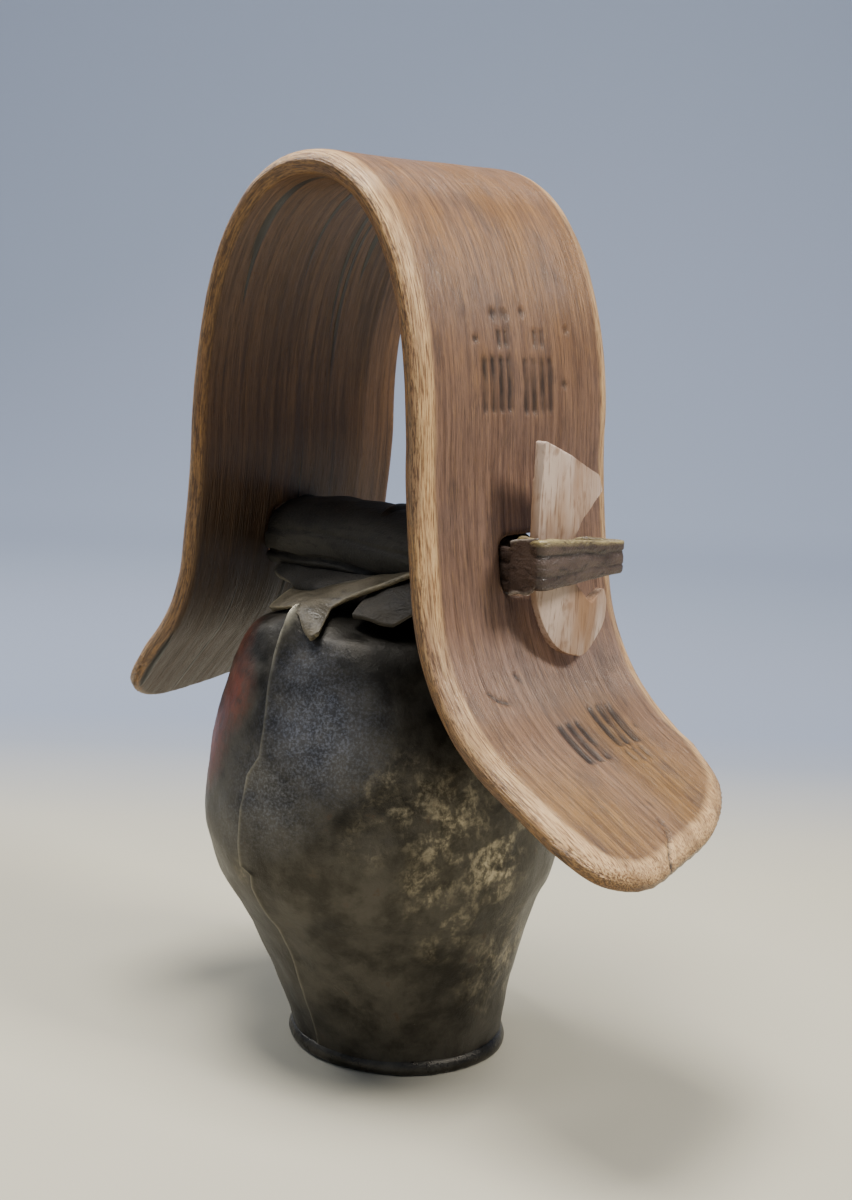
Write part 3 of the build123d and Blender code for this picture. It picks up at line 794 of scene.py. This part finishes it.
# A darker copy of the pad's leather, painted shade for folds that lie in shadow.
shaded_fold_leather = leather_paint(
    "shaded_fold_leather", (0.018, 0.015, 0.012), (0.045, 0.038, 0.028), (0.07, 0.06, 0.045), 0.9, (0.55, 0.8)
)
flap_leather = leather_paint(
    "flap_leather", (0.065, 0.055, 0.036), (0.14, 0.118, 0.08), (0.26, 0.22, 0.14), 0.7
)
PAD_Y, PAD_Z, PAD_MID = 25.0, 18.2, AXIS_Z - 1.8
BORE = 12.3
END_LENGTH, END_DROP, BODY_HALF, BODY_STEPS = 9, 0.30, 49, 90  # the roll's rounded ends and straight middle
end = np.linspace(0, math.pi / 2, 10)
end_x = END_LENGTH * (1 - np.sin(end))
end_r = 1 - END_DROP * (1 - np.cos(end - math.pi / 2))
middle_x = np.linspace(-BODY_HALF, BODY_HALF, BODY_STEPS)
outer_x = np.concatenate([-PAD_HALF + end_x, middle_x, PAD_HALF - end_x[::-1]])
outer_r = np.concatenate([end_r, np.ones(BODY_STEPS), end_r[::-1]])
bore_x = np.linspace(PAD_HALF - 0.5, -PAD_HALF + 0.5, 40)
turn = np.linspace(0, 2 * math.pi, 180, endpoint=False)
ring_y, ring_z = np.cos(turn), np.sin(turn)
outer_y = AXIS_Y + PAD_Y * outer_r[:, None] * ring_y
outer_z = PAD_MID + PAD_Z * outer_r[:, None] * ring_z
bore_r = BORE + 3.2 * np.clip((np.abs(bore_x) - 48) / 11, 0, 1)
pad_grid = np.stack(
    [
        np.concatenate([outer_x, bore_x])[:, None].repeat(180, 1),
        np.vstack([outer_y, AXIS_Y + bore_r[:, None] * ring_y]),
        np.vstack([outer_z, AXIS_Z + bore_r[:, None] * ring_z]),
    ],
    -1,
)
degrees = np.degrees(turn)[None, :]
pad_x = pad_grid[..., 0]
skin = np.zeros(pad_x.shape)
skin[: len(outer_x)] = 1
fold = 207 + 7 * np.sin(pad_x / 26) + 3 * np.sin(pad_x / 9)
back_fold = (degrees - 168 - 5 * np.sin(pad_x / 17)) / 4
dent = 2.4 * np.exp(-(((degrees - fold) / 3.2) ** 2)) + 1.0 * np.exp(-(back_fold**2))
lip = 1.6 * np.clip((degrees - fold) / 3, 0, 1) * np.clip((fold + 30 - degrees) / 12, 0, 1)
sag = 1.6 * np.cos((pad_x + 8) / 36) - 1.2
flesh = pad_grid.reshape(-1, 3)
bulge = (1.3 * noise(flesh, 21, 51) + 0.5 * noise(flesh / (1.8, 1, 1), 6, 52)).reshape(pad_x.shape)
shift = skin * (lip - dent + bulge + np.clip(ring_z, 0, 1) * sag - 1.0)
pad_grid[..., 1] += ring_y * shift
pad_grid[..., 2] += ring_z * shift
# The pad's top is lightened with the leather's edge colour as a painted sheen.
pad_piece = mesh_object(
    "pad_roll",
    pad_grid.reshape(-1, 3),
    quads(len(pad_grid), 180, True, True),
    "bell",
    pad_leather,
    ["throat_pad"],
    {"wear_and_sheen": (0.5 * np.clip(ring_z - 0.5, 0, 1) * skin).ravel()},
)


# ---- leather pieces between pad and bell -----------------------------------------------------------
def leaf(name, left, middle, right, thickness, material, seed, wrinkle=0.7, replaced=()):
    """A leather leaf: its left edge, its middle line and its right edge, each from the root to the tip."""
    lines = [curve(line, 60) for line in (left, middle, right)]
    t = np.linspace(0, 1, 48)[None, :, None]
    a, b, c = (line[:, None, :] for line in lines)
    grid = a * (1 - t) ** 2 + c * t**2 + (2 * b - (a + c) / 2) * 2 * t * (1 - t)
    lumps = wrinkle * noise(grid.reshape(-1, 3), 9, seed).reshape(60, 48, 1)
    grid = grid + normals(grid) * lumps * (0.3 + np.sin(math.pi * t))
    points, faces = slab(grid, thickness)
    edge = np.maximum(np.abs(t[0, :, 0] - 0.5) * 2, 0)[None, :].repeat(60, 0).ravel()
    rubbed = np.tile(np.clip((edge - 0.93) / 0.06, 0, 1), 2)
    return mesh_object(name, points, faces, "bell", material, replaced, {"wear_and_sheen": rubbed})


leaf(
    "saddle_flap",
    (
        *((-34, -16, 204), (-33, -30, 198.5), (-31, -42, 193.5), (-18, -49, 196)),
        *((-3, -55, 199.3), (5, -58.5, 197.2), (10.5, -60.6, 194), (15.2, -61.4, 191.4)),
    ),
    (
        *((-6, -16, 207), (-7, -30, 204.5), (-8, -41, 202), (-2, -50, 201)),
        *((5, -55, 200.2), (10.5, -58.3, 197), (13.8, -60.6, 193.6), (16.0, -61.6, 191.0)),
    ),
    (
        *((34, -16, 216), (28, -27, 211.5), (18, -37, 206), (11.5, -46, 201)),
        *((14, -53, 197.5), (16.2, -58, 194), (17.2, -60.4, 192), (16.8, -61.4, 191.2)),
    ),
    2.0,
    flap_leather,
    61,
    replaced=["roof_saddle"],
)
leaf(
    "lower_lip",
    ((-50, -12, 210), (-52, -20, 206), (-46, -25, 204), (-30, -28.5, 202.8), (-14, -31, 202.6)),
    ((-25, -14, 210), (-25, -22, 207), (-23, -27, 205), (-18, -30.5, 203.4), (-12, -31.8, 202.8)),
    ((8, -14, 210), (6, -22, 208), (0, -27, 206.5), (-6, -30.5, 204.2), (-11, -32, 203.0)),
    2.0,
    pad_leather,
    62,
)
# Dark leather folds under the flap: their darker leather is painted shade, and the leaf also covers the
# roof's front where it lies in shadow.
leaf(
    "under_fold",
    ((12, -14, 208), (16, -28, 205.5), (19, -38, 201.8), (22, -46, 198.2)),
    ((28, -14, 211), (30, -27, 207), (31, -36, 202), (32, -43, 197.4)),
    ((48, -12, 209), (45, -23, 205), (41, -32, 200), (38, -39, 196.2)),
    2.0,
    shaded_fold_leather,
    63,
    wrinkle=1.6,
)
leaf(
    "rear_fold",
    ((44, 24, 207), (42, 36, 203), (34, 46, 197), (20, 55, 192)),
    ((0, 26, 208), (0, 38, 205), (0, 49, 201), (0, 58, 194)),
    ((-44, 24, 207), (-42, 36, 203), (-34, 46, 197), (-20, 55, 192)),
    2.0,
    pad_leather,
    64,
)

# ---- bell ----------------------------------------------------------------------------------------
BELL_ROWS = (
    (0.0, 46.4, 44.6, 2.05),
    (14.0, 48.2, 47.0, 2.05),
    (33.0, 53.0, 53.0, 2.1),
    (50.0, 57.5, 59.5, 2.1),
    (66.0, 62.0, 67.0, 2.1),
    (80.0, 68.0, 75.0, 2.15),
    (98.0, 71.5, 79.5, 2.15),
    (120.0, 71.5, 79.5, 2.15),
    (145.0, 68.0, 76.0, 2.2),
    (168.0, 60.0, 70.0, 2.3),
    (187.0, 49.0, 63.5, 2.4),
    (193.0, 36.0, 60.5, 2.2),
    (197.0, 20.0, 58.0, 2.0),
    (199.0, 6.0, 56.0, 2.0),
    (199.4, 0.05, 55.5, 2.0),
)
# Where the right half's front edge lies, as heights and distances off the bell's middle plane.
SEAM_Z = (0, 60, 68, 77, 86, 92, 94, 110, 127, 133, 142, 152, 164, 181, 190, 199)
SEAM_X = (1, 3, 4, 1.4, -1, 0, -6.5, -5.5, -4.4, -3.2, 3.0, 2.5, 0.7, -1.4, -1, 0.5)
SEAM_RISE = (0.5, 0.6, 1.2, 1.3, 1.3, 1.2, 1.1, 0.7, 1.0, 1.6, 1.9, 2.0, 2.1, 2.2, 2.4, 2.6)
UNDERLAP = 5.0  # how far the left sheet runs on under the right one
bell_rows = curve([(z, x, y, p * 10) for z, x, y, p in BELL_ROWS], 210)


def bell_grid(angle, inset):
    """Points of the bell's wall at each row and angle (rows by angles), inset from the outer face."""
    z, half_x, half_y, power = (bell_rows[:, k, None] for k in range(4))
    power = power / 10
    lean = np.clip(1 - z / SHIFT_END, 0, 1)
    cos, sin = np.cos(angle), np.sin(angle)
    x = np.maximum(half_x - inset, 0.02) * np.sign(cos) * np.abs(cos) ** (2 / power)
    y = np.maximum(half_y - inset, 0.02) * np.sign(sin) * np.abs(sin) ** (2 / power)
    down = inset * np.clip((z - 185) / 12, 0, 1)
    return np.stack([x + MOUTH_SHIFT[0] * lean, y + MOUTH_SHIFT[1] * lean, z - down + 0 * x], -1)


def blobs(points, spots):
    """Soft round patches: each spot is x, y, z, radius and strength."""
    total = np.zeros(len(points))
    for x, y, z, radius, strength in spots:
        gap = np.linalg.norm(points - (x, y, z), axis=1) / radius
        total = np.maximum(total, strength * np.clip(1.35 - gap, 0, 1))
    return total


COPPER = (
    *((-42, -62, 140, 20, 1.0), (-28, -66, 162, 16, 1.0)),
    *((-32, -56, 180, 12, 0.7), (-62, -40, 118, 22, 0.5)),
)
BRASS = (
    (57, -50, 132, 15, 0.9),
    (66, -30, 118, 20, 1.0),
    (72, -8, 98, 20, 1.0),
    (66, -40, 92, 14, 0.7),
    (71, 15, 118, 18, 0.7),
    (60, -24, 72, 14, 0.7),
    (60, 12, 50, 22, 0.9),
    (56, 20, 30, 14, 0.6),
    (45, -58, 112, 10, 0.5),
    (-8, -76, 90, 6, 0.4),
    (-60, 40, 110, 26, 0.8),
    (-55, 20, 60, 20, 0.6),
    (20, 76, 120, 24, 0.7),
)
# Painted shadow on the roof's front right, where it lies in shadow.
ROOF_SHADOW = ((24, -48, 196, 15, 0.9), (44, -44, 188, 24, 1.0), (62, -34, 168, 24, 0.8), (50, -52, 165, 16, 0.5))
# Painted reflection: where the bell's front takes a bluish-grey sheen from its surroundings.
BLUE_SHEEN = ((26, -69, 156, 26, 1.0), (18, -66, 176, 16, 0.7), (8, -76, 128, 22, 0.6), (-10, -76, 112, 16, 0.35))
bell_iron = iron_paint()


def bell_half(side, name):
    """One sheet of the bell. The right sheet's front edge laps over the left one's."""
    z, half_x, _, power = (bell_rows[:, k] for k in range(4))
    lap = np.interp(z, SEAM_Z, SEAM_X) - MOUTH_SHIFT[0] * np.clip(1 - z / SHIFT_END, 0, 1)
    lap = lap + UNDERLAP if side < 0 else -lap
    lap = np.clip(lap, -0.25 * half_x, 0.25 * half_x) * np.clip(half_x / 12, 0, 1)
    past = np.arcsin(np.sign(lap) * (np.abs(lap) / half_x) ** (power / 20))
    t = np.linspace(0, 1, 170) ** 1.25
    first = -math.pi / 2 - past[:, None]
    angle = first + (math.pi / 2 - first) * t[None, :]
    if side < 0:
        angle = math.pi - angle
    grid, hollow = bell_grid(angle, 0), bell_grid(angle, SHEET)
    out = normals(grid) * (1 if side > 0 else -1)
    points = grid.reshape(-1, 3)
    dents = 0.9 * noise(points, 26, 71) + 0.55 * noise(points, 11, 72) + 0.12 * noise(points, 4, 73)
    quiet = np.clip(points[:, 2] / 12, 0.15, 1) * np.clip((200 - points[:, 2]) / 14, 0.25, 1)
    push = (dents * quiet).reshape(grid.shape[:2])
    if side > 0:
        from_edge = np.linalg.norm(grid - grid[:, :1], axis=2)
        rise = np.interp(z, SEAM_Z, SEAM_RISE)[:, None]
        swell = 0.75 * np.exp(-((from_edge / 8) ** 1.4))
        push = push + rise * (swell + 0.35 * np.exp(-((from_edge / 2.0) ** 2)))
        # The seam's edge and the ear are painted pale: rubbed metal, and a painted highlight along the
        # lapped edge.
        rub_and_glint = np.exp(-((from_edge / 0.9) ** 2)) * np.clip((z[:, None] - 165) / 30, 0.3, 1) * 0.6
        rub_and_glint = np.maximum(rub_and_glint, np.exp(-(np.linalg.norm((grid - (0, -58, 197)) / (1.8, 3.5, 6), axis=2) ** 2)))
    else:
        push = push - 0.15
        rub_and_glint = 0 * push
    moved = grid + out * push[..., None]
    inward = hollow + out * (push * 0.8)[..., None]
    # The ear: the sheet's corner stands up at the top of the seam.
    ear = np.exp(-(np.linalg.norm((grid - (-0.5, -56.5, 198)) / (1.9, 4.5, 5), axis=2) ** 2))
    lift = ear[..., None] * np.array([0, -1.4, 0.6]) * (1 if side > 0 else 0.4)
    moved, inward = moved + lift, inward + lift
    moved[..., 2] = np.maximum(moved[..., 2], 0.25)
    rows, columns = grid.shape[:2]
    both = np.vstack([moved.reshape(-1, 3), inward.reshape(-1, 3)])
    count = rows * columns
    index = np.arange(count).reshape(rows, columns)
    loop = np.concatenate([index[0], index[1:, -1], index[-1, -2::-1], index[-2:0:-1, 0]])
    after = np.roll(loop, -1)
    wall = np.stack([after, loop, loop + count, after + count], 1)
    faces = np.vstack([quads(rows, columns), quads(rows, columns, start=count)[:, ::-1], wall])
    if side < 0:
        faces = faces[:, ::-1]
    fields = {"copper": blobs(both, COPPER), "brass": blobs(both, BRASS), "blue": blobs(both, BLUE_SHEEN)}
    fields["roof_shadow"] = blobs(both, ROOF_SHADOW)
    fields["copper"] = fields["copper"] * np.clip(-both[:, 0] / 8, 0, 1)
    fields["rub_and_glint"] = np.concatenate([rub_and_glint.ravel(), 0 * rub_and_glint.ravel()])
    shell = name.replace("sheet", "shell")
    return mesh_object(name, both, faces, "bell", bell_iron, [shell], fields)


bell_half(1, "bell_sheet_right")
bell_half(-1, "bell_sheet_left")

# ---- mouth hoop -----------------------------------------------------------------------------------
HOOP_PROFILE = (
    *((-2.2, 0.8), (-1.4, 0.0), (0.8, 0.0), (2.1, 1.0), (2.5, 2.6)),
    *((2.1, 4.4), (1.3, 5.8), (0.3, 6.6), (-2.2, 6.4), (-2.4, 3.0)),
)
_, mouth_x, mouth_y, mouth_power = BELL_ROWS[0]
angle = np.linspace(0, 2 * math.pi, 360, endpoint=False)[None, :]
spin = curve(HOOP_PROFILE + HOOP_PROFILE[:1], 45)[:-1]
swell = 0.25 * np.sin(3 * angle + 1) + 0.15 * np.sin(7 * angle)
reach_out = spin[:, :1] + swell * (spin[:, :1] > 0.5)
lean = np.clip(1 - spin[:, 1:] / SHIFT_END, 0, 1)
cos, sin = np.cos(angle), np.sin(angle)
hoop_grid = np.stack(
    [
        MOUTH_SHIFT[0] * lean + (mouth_x + reach_out) * np.sign(cos) * np.abs(cos) ** (2 / mouth_power),
        MOUTH_SHIFT[1] * lean + (mouth_y + reach_out) * np.sign(sin) * np.abs(sin) ** (2 / mouth_power),
        spin[:, 1:] + 0 * angle,
    ],
    -1,
)
hoop_points = hoop_grid.reshape(-1, 3)
hoop_out = normals(hoop_grid, True, True).reshape(-1, 3)
hoop_points = hoop_points + hoop_out * (0.12 * noise(hoop_points, 3, 81))[:, None]
hoop_points[:, 2] = np.clip(hoop_points[:, 2], 0, None)
mesh_object(
    "mouth_bead",
    hoop_points,
    quads(len(spin), 360, True, True),
    "bell",
    iron_paint("polished_hoop", shine=0.14),
    ["mouth_hoop"],
)

# ---- CAD pieces that keep their shape ---------------------------------------------------------------
forged = iron_paint("forged_iron", shine=0.04)
for node in ("bail_ring", "clapper_link", "clapper"):
    shown = bpy.data.objects.get(node) or next(o for o in bpy.data.objects if o.get("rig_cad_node") == node)
    for place in range(len(shown.material_slots)):
        shown.material_slots[place].material = forged

# ---- floor, light and camera --------------------------------------------------------------------------
CAMERA_AT = (0.51547, -0.54134, 0.32834)
AZIMUTH, ELEVATION, ROLL = (math.radians(a) for a in (42.4961, 9.8698, 2.1067))
LENS = 74.23

flat_part = math.cos(ELEVATION)
back = Vector((math.sin(AZIMUTH) * flat_part, -math.cos(AZIMUTH) * flat_part, math.sin(ELEVATION)))
level = Vector((math.cos(AZIMUTH), math.sin(AZIMUTH), 0))
above = back.cross(level)
right = math.cos(ROLL) * level + math.sin(ROLL) * above
up = -math.sin(ROLL) * level + math.cos(ROLL) * above
camera_data = bpy.data.cameras.new("camera")
camera_data.lens, camera_data.sensor_width, camera_data.sensor_fit = LENS, 36, "HORIZONTAL"
camera_data.clip_start, camera_data.clip_end = 0.05, 30
camera = bpy.data.objects.new("camera", camera_data)
bpy.context.scene.collection.objects.link(camera)
turned = Matrix((right, up, back)).transposed().to_4x4()
camera.matrix_world = Matrix.Translation(Vector(CAMERA_AT)) @ turned
bpy.context.scene.camera = camera

floor_paint = Paint("pale_floor", Roughness=0.9)
floor_noise = floor_paint.grain(floor_paint.place(), 6.0, detail=3)
backdrop = floor_paint.mix(floor_paint.field("distant"), (0.29, 0.335, 0.435), (0.62, 0.70, 0.86))
floor_tone = floor_paint.mix(floor_noise, (0.53, 0.495, 0.385), (0.57, 0.53, 0.415))
floor_paint.finish(floor_paint.mix(floor_paint.field("cool"), floor_tone, backdrop))
SWEEP_START, SWEEP_R, SWEEP_TOP, SWEEP_HALF = 1.5, 1.0, 3.0, 20.0  # metres behind the object, and half width
# How far behind the object the floor turns blue, then paler.
COOL_START, COOL_SPAN, DISTANT_START, DISTANT_SPAN = 0.22, 0.36, 0.5, 1.2
bend = np.linspace(0, math.pi / 2, 24)
sweep_line = [(-SWEEP_HALF, 0.0), *((float(far), 0.0) for far in np.arange(0.22, 1.48, 0.09))]
sweep_line += [*zip(SWEEP_START + SWEEP_R * np.sin(bend), SWEEP_R * (1 - np.cos(bend)))]
sweep_line.append((SWEEP_START + SWEEP_R, SWEEP_TOP))
verts, faces = [], []
for far, up_by in sweep_line:
    for across in (-SWEEP_HALF, SWEEP_HALF):
        spot = Vector((back.x, back.y, 0)).normalized() * -float(far) + level * across
        verts.append((spot.x, spot.y, float(up_by)))
for i in range(len(sweep_line) - 1):
    faces.append((2 * i, 2 * i + 1, 2 * i + 3, 2 * i + 2))
floor_mesh = bpy.data.meshes.new("floor")
floor_mesh.from_pydata(verts, [], faces)
floor_mesh.shade_smooth()
cool_rows = np.clip([(far - COOL_START) / COOL_SPAN for far, _ in sweep_line], 0, 1)
cool_rows = np.repeat(cool_rows**2 * (3 - 2 * cool_rows), 2)
distant_rows = np.clip([(far - DISTANT_START) / DISTANT_SPAN for far, _ in sweep_line], 0, 1)
for label, rows in (("distant", np.repeat(distant_rows, 2)), ("cool", cool_rows)):
    layer = floor_mesh.attributes.new(label, "FLOAT", "POINT")
    layer.data.foreach_set("value", rows.astype(np.float32))
floor_mesh.materials.append(floor_paint.material)
floor = bpy.data.objects.new("floor", floor_mesh)
bpy.context.scene.collection.objects.link(floor)


def soft_light(name, at, aim, size, power, colour):
    """A square area light at a point, turned to face aim."""
    data = bpy.data.lights.new(name, "AREA")
    data.size, data.energy, data.color = size, power, colour
    lamp = bpy.data.objects.new(name, data)
    bpy.context.scene.collection.objects.link(lamp)
    lamp.location = at
    lamp.rotation_mode = "QUATERNION"
    lamp.rotation_quaternion = (Vector(aim) - Vector(at)).to_track_quat("-Z", "Y")


centre = (Vector(cad_low) + Vector(cad_high)) / 2
flat_back = Vector((back.x, back.y, 0)).normalized()
key_at = centre + 0.95 * level + 0.55 * flat_back + Vector((0, 0, 1.05))
top_at = centre - 0.15 * level + 0.1 * flat_back + Vector((0, 0, 1.25))
rear_at = centre - 0.9 * level - 0.6 * flat_back + Vector((0, 0, 0.9))
soft_light("key_light", key_at, centre, 0.40, 24, (1.0, 0.96, 0.90))
soft_light("top_light", top_at, centre, 0.50, 27, (1.0, 0.97, 0.92))
soft_light("rear_light", rear_at, centre, 0.6, 9, (0.97, 0.98, 1.0))
world = bpy.data.worlds.new("studio")
world.use_nodes = True
world.node_tree.nodes["Background"].inputs["Color"].default_value = (0.70, 0.80, 1.0, 1)
world.node_tree.nodes["Background"].inputs["Strength"].default_value = 0.27
bpy.context.scene.world = world
